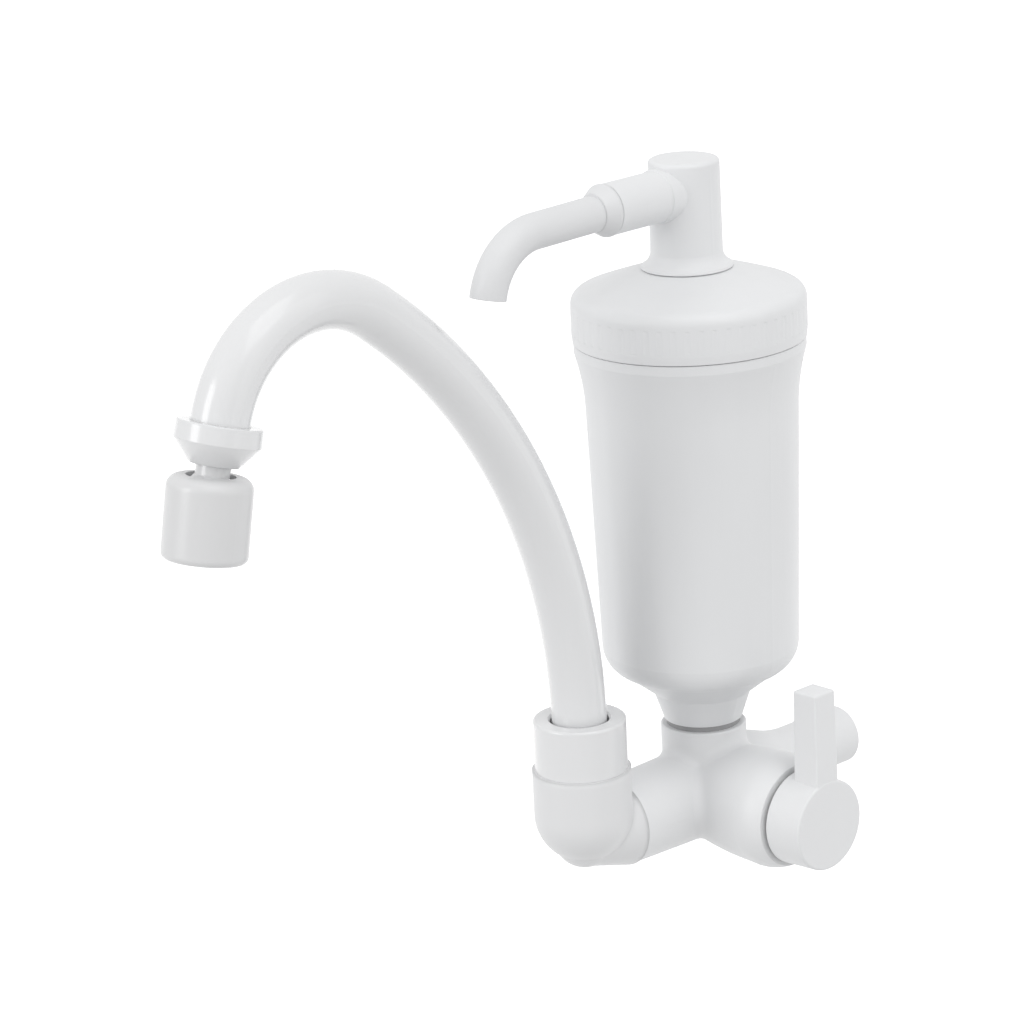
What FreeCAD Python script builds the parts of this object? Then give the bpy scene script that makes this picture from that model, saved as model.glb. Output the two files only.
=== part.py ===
"""A wall-mounted kitchen tap with a water filter built on it, in moulded white plastic.

The frame has +Z up and +Y towards the wall. The origin is the centre of the inlet arm's end face,
which lies against the wall fitting, so the whole tap stands in front of it at negative Y.
All sizes are in millimetres.
"""

import FreeCAD, Part

import math
import os

Vector = FreeCAD.Vector
UP = Vector(0, 0, 1)
DOWN = Vector(0, 0, -1)
TO_WALL = Vector(0, 1, 0)
TO_FRONT = Vector(0, -1, 0)
TO_SIDE = Vector(1, 0, 0)

# Clearances
RUNNING = 0.08            # radial gap of a shaft that turns in its bore
STATIC = 0.05             # radial gap of a screwed or pushed-in piece that stays put
FACE_GAP = 0.3            # gap between faces of pieces that move against each other
DISC_GAP = 0.1            # water film between the two ceramic discs
SEAL_GAP = 0.04           # gap of a turning seal at its bore
OVERCUT = 1.0             # reach of a cutting shape past the face it opens
TINY = 1e-6               # shortest edge of a profile

# Valve body
INLET_LENGTH = 76.0       # wall face to the centre of the cross
INLET_BOSS_R = 11.5
INLET_BOSS_SWELL = 4.0    # length over which the arm widens to its end
INLET_EDGE = 1.0
INLET_BOSS_LENGTH = 16.0
INLET_NECK_R = 10.7
INLET_NECK_LENGTH = 12.0
INLET_ROOT_R = 16.8
INLET_ROOT_LENGTH = 15.0
INLET_THREAD_R = 8.33     # female G3/8
INLET_THREAD_LENGTH = 12.0
FRONT_LENGTH = 48.0       # centre of the cross to the elbow's seam
FRONT_ROOT_R = 17.8
FRONT_END_R = 16.6
COLLAR_TOP = 27.4         # height of the filter collar's rim
COLLAR_R = 16.35
COLLAR_EDGE = 0.8
BELL_ROOT_R = 17.4
BELL_BELLY_R = 21.9
BELL_BELLY_INSET = 12.0   # rim to the widest place
BELL_ROOT_BULGE = 1.1
BELL_RIM_R = 19.6
BELL_RIM_BULGE = 1.05
SEAM_FILLET = 4.0         # round between two arms
SEAM_SPAN = 0.5           # least spread along each axis of an edge between two arms
WATERWAY_R = 4.5
SPOUT_DUCT_R = 3.5
SPOUT_DUCT_HEIGHT = -9.0  # duct from the lower port to the front arm
DUCT_LAP = 2.0            # reach of a duct past the middle of the one it meets

# Lever valve
PORT_FLOOR = 16.0         # centre of the cross to the floor of the valve chamber
PORT_RADIUS = 2.8
PORT_OFFSET = 8.0
CHAMBER_R = 15.0
NUT_BORE_R = 16.3
CARTRIDGE_WALL = 1.8
PORT_SEAL_THICKNESS = 1.0
DISC_THICKNESS = 3.0
DISC_SLOT_DEPTH = 1.8
DRIVE_PLATE = 3.5
DRIVE_LUG_WIDTH = 4.0
DRIVE_LUG_HEIGHT = 3.2
DRIVE_LUG_AT = 9.2        # valve's axis to the middle of a lug
DRIVE_LUG_DEPTH = 0.9
CARTRIDGE_HEAD = 10.1     # roof over the drive plate to the shoulder under the nut
CARTRIDGE_SEAL_INSET = 6.0     # shoulder to the seal
CARTRIDGE_TOWER_R = 9.0
CARTRIDGE_TOWER_LENGTH = 8.5
BELL_LIP = 1.5            # tower's end to the bell's rim
SPINDLE_R = 5.5
SPINDLE_COLLAR = 0.7      # tower's end to the spindle's shoulder
SPINDLE_SQUARE = 7.0
SPINDLE_SQUARE_LENGTH = 11.3
NUT_SLOT = 3.0            # width of a spanner slot
NUT_SLOT_DEPTH = 2.0
NUT_SLOT_COUNT = 4

# Lever
KNOB_GAP = 1.5            # bell's rim to the knob
KNOB_LENGTH = 15.5
KNOB_R = 18.1
KNOB_FACE_R = 17.4
KNOB_WALL = 2.6
KNOB_CAVITY_DEPTH = 8.0
KNOB_HUB_R = 8.0
LEVER_TOP = 52.4
LEVER_WIDTH_TOP = 11.0
LEVER_WIDTH_ROOT = 12.0
LEVER_DEPTH_TOP = 11.2
LEVER_DEPTH_ROOT = 12.4
LEVER_EDGE = 0.9
GRUB_INSET = 5.0          # knob's inner face to the grub screw's axis
GRUB_R = 2.0
GRUB_LENGTH = 8.0
HEX_KEY_R = 1.15
HEX_KEY_DEPTH = 2.0
HEX_SIDES = 6

# Elbow and its nut
ELBOW_ARM_LENGTH = 17.5   # seam at the front arm to the spout's axis
ELBOW_R = 18.5
ELBOW_BALL_HEIGHT = 9.4   # centre of the upright part's round lower end
ELBOW_ARM_R = 12.0        # radius of the level arm's round end, under the spout
ELBOW_END_R = 16.9
ELBOW_SEAM = 27.3         # height of the seam under the nut
ELBOW_SPIGOT_R = 12.0
ELBOW_SPIGOT_LENGTH = 14.0
ELBOW_SEAL_INSET = 8.4    # seam to the spigot's seal
ELBOW_DUCT_R = 6.0
ELBOW_THREAD_R = 14.8
ELBOW_THREAD_LENGTH = 13.2
SPOUT_SOCKET_FLOOR = 3.0
NUT_R = 17.4
NUT_LENGTH = 19.7
NUT_HOLE_R = 11.0
NUT_LIP = 3.4
NUT_ROUND = 1.0
NUT_HOLE_CHAMFER = 0.8

# Swan-neck spout
TUBE_R = 10.3
TUBE_WALL = 2.2
TUBE_FOOT = 5.0           # height of the tube's lower end
TUBE_BEND_INSET = 3.3     # nut's top down to where the first bend begins
RISE_RADIUS = 220.3
RISE_ANGLE = 53.5
CROWN_RADIUS = 44.95
CROWN_ANGLE = 110.2
TUBE_END_RUN = 6.4
TUBE_FLARE_R = 12.7
TUBE_FLARE_ROOT_R = 9.9    # where the flare comes out of the tube
TUBE_FLARE_LENGTH = 5.0
TUBE_FLARE_BULGE = -0.8
RETAINING_RING_R = 12.7
RETAINING_RING_THICKNESS = 1.6
RETAINING_RING_SPLIT = 5.0
SPOUT_SEAL_INSETS = (6.0, 16.0)   # tube's lower end to its seals
GROOVE_DEPTH = 1.2
SEAL_GROOVE = 1.8         # width of the grooves for round seals

# Aerator nut, ball and head
AERATOR_NUT_GRIP = 6.0    # length of tube inside the nut
AERATOR_NUT_TOP_R = 14.9
AERATOR_NUT_CHAMFER = 0.4
AERATOR_NUT_BAND_R = 15.1
AERATOR_NUT_BAND = 6.4
AERATOR_NUT_CONE_R = 8.6
AERATOR_NUT_EDGE = 0.8
AERATOR_NUT_LENGTH = 14.1
AERATOR_NUT_HOLE_R = 6.4
GASKET_BORE_R = 4.4
GASKET_THICKNESS = 0.8
STEM_FLANGE = 2.0
STEM_CONE = 3.4
STEM_NECK_R = 6.0
STEM_BORE_R = 3.4
BALL_R = 9.3
BALL_FLAT = 7.25          # ball's centre to its flat lower face
BALL_DISTANCE = 10.8      # nut's lower face to the ball's centre
HEAD_TILT = 11.0          # the head's lean from the plumb line, in degrees
HEAD_R = 14.9
HEAD_TOP = 7.2            # ball's centre up to the head's upper face
HEAD_BOTTOM = 21.9        # ball's centre down to the head's lower face
HEAD_MOUTH_R = 8.6
HEAD_SHOULDER = 4.4
HEAD_BORE_R = 12.2
HEAD_EDGE = 2.4
BALL_SEAL_TOP = 4.4
BALL_SEAL_BOTTOM = 9.0
BALL_SEAL_BORE_R = 4.6
INSERT_INSET = 1.2        # insert's lower face up from the head's
INSERT_PLATE = 2.4
INSERT_RIM = 1.9
SCREEN_THICKNESS = 0.6
OUTLET_HOLE_R = 0.8
OUTLET_HOLE_PITCH = 3.3
OUTLET_HOLE_RINGS = 2
OUTLET_HOLES = 6          # holes in the first ring, and more in each next one

# Filter canister
NECK_RING_THICKNESS = 2.2
NECK_RING_R = 14.1
NECK_SHOULDER_R = 15.0
NECK_LENGTH = 10.7
NECK_TOP_R = 18.6
NECK_SPIGOT_R = 12.6
NECK_SPIGOT_DEPTH = 14.4  # length of the spigot in the collar
NECK_BORE_R = 7.0
CUP_FOOT_R = 19.0
CUP_FOOT_EDGE = 0.4
CUP_CONE_HEIGHT = 8.2
CUP_CONE_STEP = 7.9       # wall's lower radius to the cone's
CUP_CORNER_HEIGHT = 10.1
CUP_CORNER_BULGE = 1.9
CUP_DRAFT = 2.4           # narrowing of the wall from its flare to its lower end
CUP_WALL_HEIGHT = 91.0    # corner to where the wall begins to flare
CUP_NECKING = 0.4         # root of the thread to the wall where it begins to flare
CUP_FLARE_HEIGHT = 25.2
CUP_BAND_HEIGHT = 3.7     # flare's end to the seam under the lid
CUP_WALL = 2.6
CUP_THREAD_R = 40.2       # root of the thread on the canister's rim
CUP_THREAD_LENGTH = 12.7
CUP_STEP = 3.2            # root of the thread to the wall under the lid
CUP_FLOOR_THICKNESS = 3.8 # foot to the floor at the neck's bore
CUP_FLOOR_RISE = 7.9      # floor at the bore to where it turns up
CUP_FLOOR_STEP = 7.6      # wall's lower radius to where the floor turns up

# Canister lid
THREAD_DEPTH = 1.0        # root of the canister's thread to the lid's bore
LID_WALL = 2.8
LID_LIP = 3.0
LID_LIP_STEP = 0.3
LID_SHOULDER_RISE = 1.3   # canister's rim to where the shoulder begins to round over
LID_SHOULDER_HEIGHT = 5.1
LID_SHOULDER_BULGE = 1.0
LID_DOME_STEP = 3.4       # outer radius to the dome's edge
LID_DOME_HEIGHT = 7.7
LID_DOME_BULGE = 0.2
LID_HUB_R = 17.0
LID_ROOF_RISE = 2.2       # canister's rim to the face above it
LID_CEILING_RISE = 1.4
LID_CEILING_STEP = 5.2    # lid's bore to the edge of its ceiling
LID_HUB_WALL = 3.7
LID_SOCKET_R = 12.0
LID_SOCKET_DEPTH = 14.0
LID_STEP_DROP = 3.8       # roof down to where the socket narrows to the head's bearing
LID_BOSS_R = 14.4
GRIP_COUNT = 54
GRIP_DEPTH = 0.12
GRIP_WIDTH = 2.4
GRIP_INSET = 0.9          # end of a grip flute from the lip and from the shoulder

# Filter element
ELEMENT_ROOM = 8.4        # wall's lower radius to the element
ELEMENT_BORE_R = 9.0
ELEMENT_STAND = 7.6       # floor's edge to the element
ELEMENT_HEADROOM = 12.0   # element to the lid's boss
CAP_WALL = 1.8
CAP_SKIRT = 6.0
CAP_FEET = 4
CAP_FOOT_WIDTH = 3.0
CAP_FOOT_INNER = 16.0
CAP_FOOT_OUTER = 27.0
CAP_DOME = 2.0            # rise of the top cap to its spigot
OUTLET_SPIGOT_R = 10.5
OUTLET_SPIGOT_INSET = 6.0 # socket's step down to the spigot's end
OUTLET_SEAL_INSET = 3.0
OUTLET_SEAL_GROOVE = 2.6
OUTLET_BORE_R = 6.0

# Swivel head and filter spout
HEAD_COLUMN_R = 13.5
HEAD_COLUMN_TOP_R = 13.25
HEAD_CAP_HEIGHT = 11.8    # branch's axis to the column's top
HEAD_COLUMN_ROUND = 1.6
HEAD_FLANGE_R = 17.2
HEAD_FLANGE_EDGE = 0.8
HEAD_FLANGE_DRAFT = 0.2
HEAD_FLARE = 5.0
HEAD_FLARE_BULGE = -0.8
HEAD_SEAL_INSETS = (3.0, 9.0)     # bottom of the bearing to the shaft's seals
HEAD_SHAFT_R = 9.4
HEAD_SHAFT_REACH = 3.8    # length of the shaft below the bearing
HEAD_WATERWAY_R = 5.0
BRANCH_RISE = 29.1        # lid's hub to the branch's axis
BRANCH_ROOT_R = 10.1
BRANCH_ROOT_LENGTH = 15.4
BRANCH_R = 9.6
BRANCH_STEP = 0.5
BRANCH_END_R = 9.6
BRANCH_LENGTH = 41.0
BRANCH_SPIGOT_R = 6.9
BRANCH_SPIGOT_LENGTH = 4.6
BRANCH_SEAL_INSET = 2.3
HEAD_CLIP_R = 11.4
HEAD_CLIP_THICKNESS = 1.4
HEAD_CLIP_SPLIT = 6.0
SPOUT_COLLAR_R = 9.8
SPOUT_COLLAR_CHAMFER = 0.5
SPOUT_COLLAR_BAND = 1.4
SPOUT_COLLAR_END_R = 7.1
SPOUT_COLLAR_LENGTH = 6.2
SMALL_TUBE_R = 6.7
SMALL_TUBE_WALL = 1.8
SMALL_TUBE_RUN = 29.6     # collar's end to the start of the bend
SMALL_TUBE_DROOP = 1.0    # fall of the straight run, in degrees
SMALL_TUBE_DROP = 0.3     # tube's start below the collar's axis
SMALL_TUBE_LAP = 2.0      # length of the tube inside the collar
SMALL_BEND_RADIUS = 24.8
SMALL_BEND_ANGLE = 76.6
SMALL_TIP_RUN = 0.6

# Places that follow from the sizes above
CROSS = Vector(0, -INLET_LENGTH, 0)
ELBOW_REACH = FRONT_LENGTH + ELBOW_ARM_LENGTH
SPOUT_AXIS = Vector(0, -INLET_LENGTH - ELBOW_REACH, 0)
ELBOW_TOP = ELBOW_SEAM + ELBOW_THREAD_LENGTH
NUT_TOP = ELBOW_SEAM + NUT_LENGTH
TUBE_BEND_START = NUT_TOP - TUBE_BEND_INSET

FIXED_DISC_AT = PORT_FLOOR + PORT_SEAL_THICKNESS
MOVING_DISC_AT = FIXED_DISC_AT + DISC_THICKNESS + DISC_GAP
DRIVE_PLATE_AT = MOVING_DISC_AT + DISC_THICKNESS
DRIVE_PLATE_END = DRIVE_PLATE_AT + DRIVE_PLATE
CARTRIDGE_ROOF = DRIVE_PLATE_END + FACE_GAP
CARTRIDGE_SHOULDER = CARTRIDGE_ROOF + CARTRIDGE_HEAD
CARTRIDGE_SEAL_AT = CARTRIDGE_SHOULDER - CARTRIDGE_SEAL_INSET
CARTRIDGE_TOWER_TOP = CARTRIDGE_SHOULDER + CARTRIDGE_TOWER_LENGTH
BELL_LENGTH = CARTRIDGE_TOWER_TOP + BELL_LIP
BELL_BELLY_AT = BELL_LENGTH - BELL_BELLY_INSET
SPINDLE_SHOULDER = CARTRIDGE_TOWER_TOP + SPINDLE_COLLAR
SPINDLE_END = SPINDLE_SHOULDER + SPINDLE_SQUARE_LENGTH
KNOB_INNER_FACE = BELL_LENGTH + KNOB_GAP
KNOB_OUTER_FACE = KNOB_INNER_FACE + KNOB_LENGTH
GRUB_CENTRE = CROSS + TO_SIDE * (KNOB_INNER_FACE + GRUB_INSET)
DISC_R = CHAMBER_R - STATIC - CARTRIDGE_WALL - STATIC
MOVING_R = DISC_R - FACE_GAP
SPOUT_RING_AT = ELBOW_TOP + FACE_GAP + RETAINING_RING_THICKNESS / 2

NECK_SEAT = COLLAR_TOP + NECK_RING_THICKNESS
NECK_TOP = NECK_SEAT + NECK_LENGTH
NECK_SPIGOT_BOTTOM = COLLAR_TOP - NECK_SPIGOT_DEPTH
CUP_FOOT = NECK_TOP + CUP_FOOT_EDGE
CUP_FLOOR = CUP_FOOT + CUP_FLOOR_THICKNESS
CUP_FLOOR_EDGE = CUP_FLOOR + CUP_FLOOR_RISE
CUP_CONE_TOP = CUP_FOOT + CUP_CONE_HEIGHT
CUP_CORNER_TOP = CUP_CONE_TOP + CUP_CORNER_HEIGHT
CUP_HIGH = CUP_CORNER_TOP + CUP_WALL_HEIGHT
CUP_FLARE_TOP = CUP_HIGH + CUP_FLARE_HEIGHT
CUP_FLARE_R = CUP_THREAD_R + CUP_STEP
CUP_HIGH_R = CUP_THREAD_R - CUP_NECKING
CUP_LOW_R = CUP_HIGH_R - CUP_DRAFT
CUP_CONE_R = CUP_LOW_R - CUP_CONE_STEP
CUP_FLOOR_R = CUP_LOW_R - CUP_FLOOR_STEP
ELEMENT_R = CUP_LOW_R - ELEMENT_ROOM
CUP_SEAM = CUP_FLARE_TOP + CUP_BAND_HEIGHT
CUP_RIM = CUP_SEAM + CUP_THREAD_LENGTH

LID_BORE_R = CUP_THREAD_R + THREAD_DEPTH
LID_R = LID_BORE_R + LID_WALL
LID_LIP_R = LID_R - LID_LIP_STEP
LID_DOME_EDGE_R = LID_R - LID_DOME_STEP
LID_CEILING_R = LID_BORE_R - LID_CEILING_STEP
LID_SHOULDER = CUP_RIM + LID_SHOULDER_RISE
LID_DOME_EDGE = LID_SHOULDER + LID_SHOULDER_HEIGHT
LID_TOP = LID_DOME_EDGE + LID_DOME_HEIGHT
LID_ROOF = CUP_RIM + LID_ROOF_RISE
LID_CEILING = LID_ROOF + LID_CEILING_RISE
LID_BOSS_CEILING = LID_TOP - LID_HUB_WALL
LID_STEP = LID_ROOF - LID_STEP_DROP
LID_BOSS_BOTTOM = LID_STEP - LID_SOCKET_DEPTH

ELEMENT_BOTTOM = CUP_FLOOR_EDGE + ELEMENT_STAND
ELEMENT_TOP = LID_BOSS_BOTTOM - ELEMENT_HEADROOM
OUTLET_SPIGOT_TOP = LID_STEP - OUTLET_SPIGOT_INSET
HEAD_SHAFT_BOTTOM = LID_STEP - HEAD_SHAFT_REACH
HEAD_CLIP_AT = LID_STEP - FACE_GAP - HEAD_CLIP_THICKNESS / 2
BRANCH_HEIGHT = LID_TOP + BRANCH_RISE
BRANCH_ROOT = CROSS + UP * BRANCH_HEIGHT
HEAD_COLUMN_TOP = BRANCH_HEIGHT + HEAD_CAP_HEIGHT


def turned(profile, base=CROSS, direction=UP):
    """A solid of revolution from (radius, height) points along a direction.

    An entry that is a pair of points is an arc through the first point to the second.
    """
    first = Vector(profile[0][0], 0, profile[0][1])
    here = first
    edges = []
    for entry in profile[1:] + [profile[0]]:
        is_arc = isinstance(entry[0], tuple)
        radius, height = entry[1] if is_arc else entry
        there = Vector(radius, 0, height)
        if is_arc:
            middle = Vector(entry[0][0], 0, entry[0][1])
            edges.append(Part.Arc(here, middle, there).toShape())
        elif (there - here).Length > TINY:
            edges.append(Part.makeLine(here, there))
        here = there
    solid = Part.Face(Part.Wire(edges)).revolve(Vector(0, 0, 0), UP, 360)
    solid = Part.Solid(solid) if solid.ShapeType != "Solid" else solid
    return placed(solid, base, direction)


def placed(solid, base, direction):
    """Turn a solid made along +Z to a direction and move its foot to a point."""
    moved = solid.copy()
    moved.Placement = FreeCAD.Placement(base, FreeCAD.Rotation(UP, direction))
    return moved


def rod(radius, start, end, base=CROSS, direction=UP):
    """A round rod between two heights along a direction."""
    foot = base + direction * start
    return Part.makeCylinder(radius, end - start, foot, direction)


def ring(outer, inner, start, end, base=CROSS, direction=UP):
    """A flat ring between two heights along a direction."""
    return turned([(inner, start), (outer, start), (outer, end), (inner, end)], base, direction)


def o_ring(groove_r, outer_r, height, base=CROSS, direction=UP):
    """A round seal that fills the space from the bottom of its groove to an outer radius."""
    section_r = (outer_r - groove_r) / 2
    solid = Part.makeTorus(groove_r + section_r, section_r)
    return placed(solid, base + direction * height, direction)


def groove(shaft_r, height, base=CROSS, direction=UP, width=SEAL_GROOVE):
    """The ring to cut from a shaft for a seal or a clip, centred on a height."""
    inner = shaft_r - GROOVE_DEPTH
    return ring(shaft_r + OVERCUT, inner, height - width / 2, height + width / 2, base, direction)


def s_curve(start, end):
    """Two equal arcs that lead from one radius to another, both ends along the axis."""
    (r1, h1), (r2, h2) = start, end
    dr, dh = r2 - r1, h2 - h1
    bend = (dr * dr + dh * dh) / (4 * abs(dr))
    half = math.asin(abs(dh) / (2 * bend)) / 2
    drop = math.copysign(bend * (1 - math.cos(half)), dr)
    along = math.copysign(bend * math.sin(half), dh)
    middle = ((r1 + r2) / 2, (h1 + h2) / 2)
    return [((r1 + drop, h1 + along), middle), ((r2 - drop, h2 - along), end)]


def swell(start, end):
    """One arc that leaves its start along the axis and ends at another radius."""
    (r1, h1), (r2, h2) = start, end
    dr, dh = r2 - r1, h2 - h1
    bend = (dr * dr + dh * dh) / (2 * dr)
    half = math.asin(dh / bend) / 2
    return ((r1 + bend * (1 - math.cos(half)), h1 + bend * math.sin(half)), end)


def bowed(start, end, rise):
    """One arc between two points that bows by a rise, outwards where the profile runs up."""
    (r1, h1), (r2, h2) = start, end
    length = math.hypot(r2 - r1, h2 - h1)
    across, along = (h2 - h1) / length * rise, (r2 - r1) / length * rise
    return (((r1 + r2) / 2 + across, (h1 + h2) / 2 - along), end)


def corner(before, point, after, radius):
    """A rounded corner of a profile: its first point and the arc entry that follows."""
    p = Vector(point[0], point[1], 0)
    a = (Vector(before[0], before[1], 0) - p).normalize()
    b = (Vector(after[0], after[1], 0) - p).normalize()
    half = a.getAngle(b) / 2
    start = p + a * (radius / math.tan(half))
    end = p + b * (radius / math.tan(half))
    centre = p + (a + b).normalize() * (radius / math.sin(half))
    middle = centre + (p - centre).normalize() * radius
    return [(start.x, start.y), ((middle.x, middle.y), (end.x, end.y))]


def around(solid, count, base=CROSS, direction=UP):
    """Copies of a solid, evenly turned round an axis."""
    copies = []
    for k in range(count):
        copy = solid.copy()
        copy.rotate(base, direction, 360.0 * k / count)
        copies.append(copy)
    return copies


def box_on(width_x, width_y, z_low, z_high, centre):
    """An upright box centred on a point in plan."""
    foot = Vector(centre.x - width_x / 2, centre.y - width_y / 2, z_low)
    return Part.makeBox(width_x, width_y, z_high - z_low, foot)


def round_end(radius, height):
    """The first entries of a profile that starts with a half ball centred on a height."""
    part = radius * math.sqrt(0.5)
    return [(0, height - radius), ((part, height - part), (radius, height))]


def bent_rod(radius, start, heading, runs):
    """A round rod that bends in the plane X = 0, with its end and the direction there.

    The heading is measured from straight up towards the front, in degrees. Each run is either
    ("straight", length) or ("bend", radius, angle). A negative angle bends back up.
    """
    angle = math.radians(heading)
    here = start
    edges = []
    for run in runs:
        forward = Vector(0, -math.sin(angle), math.cos(angle))
        if run[0] == "straight":
            there = here + forward * run[1]
            edges.append(Part.makeLine(here, there))
        else:
            turn = math.radians(run[2])
            side = Vector(0, -math.cos(angle), -math.sin(angle))
            centre = here + side * run[1]
            half, full = [
                centre + Vector(0, math.cos(angle + part), math.sin(angle + part)) * run[1]
                for part in (turn / 2, turn)
            ]
            edges.append(Part.Arc(here, half, full).toShape())
            there = full
            angle += turn
        here = there
    path = Part.Wire(edges)
    opening = Vector(0, -math.sin(math.radians(heading)), math.cos(math.radians(heading)))
    circle = Part.Wire(Part.makeCircle(radius, start, opening))
    end_heading = Vector(0, -math.sin(angle), math.cos(angle))
    return path.makePipeShell([circle], True, False), here, end_heading


def three_ports(start, end, radius=PORT_RADIUS):
    """The inlet port in the middle, and the filter and spout ports above and below it."""
    ports = []
    for height in (0, PORT_OFFSET, -PORT_OFFSET):
        ports.append(rod(radius, start, end, CROSS + UP * height, TO_SIDE))
    return ports


def valve_body():
    """Cross-shaped moulding: inlet arm, front arm, filter collar and valve bell."""
    boss_start = INLET_LENGTH - INLET_BOSS_LENGTH
    swell_start = boss_start - INLET_BOSS_SWELL
    inlet = [(0, 0), (INLET_ROOT_R, 0), (INLET_ROOT_R, INLET_ROOT_LENGTH)]
    inlet += s_curve((INLET_ROOT_R, INLET_ROOT_LENGTH), (INLET_NECK_R, boss_start - INLET_NECK_LENGTH))
    inlet += [(INLET_NECK_R, swell_start)]
    inlet += s_curve((INLET_NECK_R, swell_start), (INLET_BOSS_R, boss_start))
    inlet += corner((INLET_BOSS_R, 0), (INLET_BOSS_R, INLET_LENGTH), (0, INLET_LENGTH), INLET_EDGE)
    inlet += [(0, INLET_LENGTH)]
    front = [(0, 0), (FRONT_ROOT_R, 0), (FRONT_END_R, FRONT_LENGTH), (0, FRONT_LENGTH)]
    collar = [(0, 0), (COLLAR_R, 0)]
    collar += corner((COLLAR_R, 0), (COLLAR_R, COLLAR_TOP), (0, COLLAR_TOP), COLLAR_EDGE)
    collar += [(0, COLLAR_TOP)]
    root, belly, rim = (BELL_ROOT_R, 0), (BELL_BELLY_R, BELL_BELLY_AT), (BELL_RIM_R, BELL_LENGTH)
    bell = [(0, 0), root, bowed(root, belly, BELL_ROOT_BULGE), bowed(belly, rim, BELL_RIM_BULGE)]
    bell += [(0, BELL_LENGTH)]

    arms = turned(inlet, CROSS, TO_WALL)
    for profile, direction in ((front, TO_FRONT), (collar, UP), (bell, TO_SIDE)):
        arms = arms.fuse(turned(profile, CROSS, direction))
    arms = arms.fuse(Part.makeSphere(FRONT_ROOT_R, CROSS)).removeSplitter()
    body = arms.makeFillet(SEAM_FILLET, [edge for edge in arms.Edges if is_seam(edge)])

    spout_duct = CROSS + UP * SPOUT_DUCT_HEIGHT
    spigot_hole = FRONT_LENGTH - ELBOW_SPIGOT_LENGTH
    thread_start = INLET_LENGTH - INLET_THREAD_LENGTH
    cuts = [
        rod(CHAMBER_R, PORT_FLOOR, BELL_LENGTH + OVERCUT, CROSS, TO_SIDE),
        rod(NUT_BORE_R, CARTRIDGE_SHOULDER, BELL_LENGTH + OVERCUT, CROSS, TO_SIDE),
        rod(INLET_THREAD_R, thread_start, INLET_LENGTH + OVERCUT, CROSS, TO_WALL),
        rod(WATERWAY_R, -OVERCUT, INLET_LENGTH, CROSS, TO_WALL),
        rod(SPOUT_DUCT_R, -DUCT_LAP, FRONT_LENGTH, spout_duct, TO_FRONT),
        rod(ELBOW_SPIGOT_R + STATIC, spigot_hole, FRONT_LENGTH + OVERCUT, CROSS, TO_FRONT),
        rod(WATERWAY_R, PORT_OFFSET - OVERCUT, COLLAR_TOP),
        rod(NECK_SPIGOT_R + STATIC, NECK_SPIGOT_BOTTOM, COLLAR_TOP + OVERCUT),
    ]
    cuts += three_ports(-DUCT_LAP, PORT_FLOOR + OVERCUT)
    return body.cut(cuts)


def is_seam(edge):
    """Whether an edge lies between two arms, and so spreads along all three axes."""
    box = edge.BoundBox
    return min(box.XLength, box.YLength, box.ZLength) > SEAM_SPAN


def port_seal():
    """Rubber seal between the chamber floor and the fixed disc."""
    plate = rod(DISC_R, PORT_FLOOR, FIXED_DISC_AT, CROSS, TO_SIDE)
    return plate.cut(three_ports(PORT_FLOOR - OVERCUT, FIXED_DISC_AT + OVERCUT))


def fixed_disc():
    """Ceramic disc with three ports that doesn't turn."""
    end = FIXED_DISC_AT + DISC_THICKNESS
    disc = rod(DISC_R, FIXED_DISC_AT, end, CROSS, TO_SIDE)
    return disc.cut(three_ports(FIXED_DISC_AT - OVERCUT, end + OVERCUT))


def moving_disc():
    """Ceramic disc whose blind slot joins the middle port to one outer port."""
    disc = rod(MOVING_R, MOVING_DISC_AT, DRIVE_PLATE_AT, CROSS, TO_SIDE)
    start, end = MOVING_DISC_AT - OVERCUT, MOVING_DISC_AT + DISC_SLOT_DEPTH
    far = CROSS + TO_WALL * PORT_OFFSET
    corner_low = Vector(start, CROSS.y, -PORT_RADIUS)
    middle = Part.makeBox(end - start, PORT_OFFSET, 2 * PORT_RADIUS, corner_low)
    slot = middle.fuse([rod(PORT_RADIUS, start, end, place, TO_SIDE) for place in (CROSS, far)])
    return disc.cut([slot] + drive_lugs(0))


def drive_lugs(gap):
    """Two lugs of the spindle that reach into the back of the moving disc."""
    width, height = DRIVE_LUG_WIDTH - 2 * gap, DRIVE_LUG_HEIGHT - 2 * gap
    foot = DRIVE_PLATE_AT - DRIVE_LUG_DEPTH + gap
    lugs = []
    for side in (-1, 1):
        corner_low = Vector(foot, CROSS.y - width / 2, side * DRIVE_LUG_AT - height / 2)
        lugs.append(Part.makeBox(DRIVE_LUG_DEPTH + OVERCUT, width, height, corner_low))
    return lugs


def cartridge_housing():
    """Shell that holds the discs and carries the spindle."""
    outer = CHAMBER_R - STATIC
    inner = outer - CARTRIDGE_WALL
    bearing = SPINDLE_R + RUNNING
    shell = turned([
        (inner, PORT_FLOOR), (outer, PORT_FLOOR), (outer, CARTRIDGE_SHOULDER),
        (CARTRIDGE_TOWER_R, CARTRIDGE_SHOULDER), (CARTRIDGE_TOWER_R, CARTRIDGE_TOWER_TOP),
        (bearing, CARTRIDGE_TOWER_TOP), (bearing, CARTRIDGE_ROOF), (inner, CARTRIDGE_ROOF),
    ], CROSS, TO_SIDE)
    return shell.cut(groove(outer, CARTRIDGE_SEAL_AT, CROSS, TO_SIDE))


def cartridge_oring():
    """Seal of the cartridge housing in the valve chamber."""
    return o_ring(CHAMBER_R - STATIC - GROOVE_DEPTH, CHAMBER_R, CARTRIDGE_SEAL_AT, CROSS, TO_SIDE)


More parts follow.
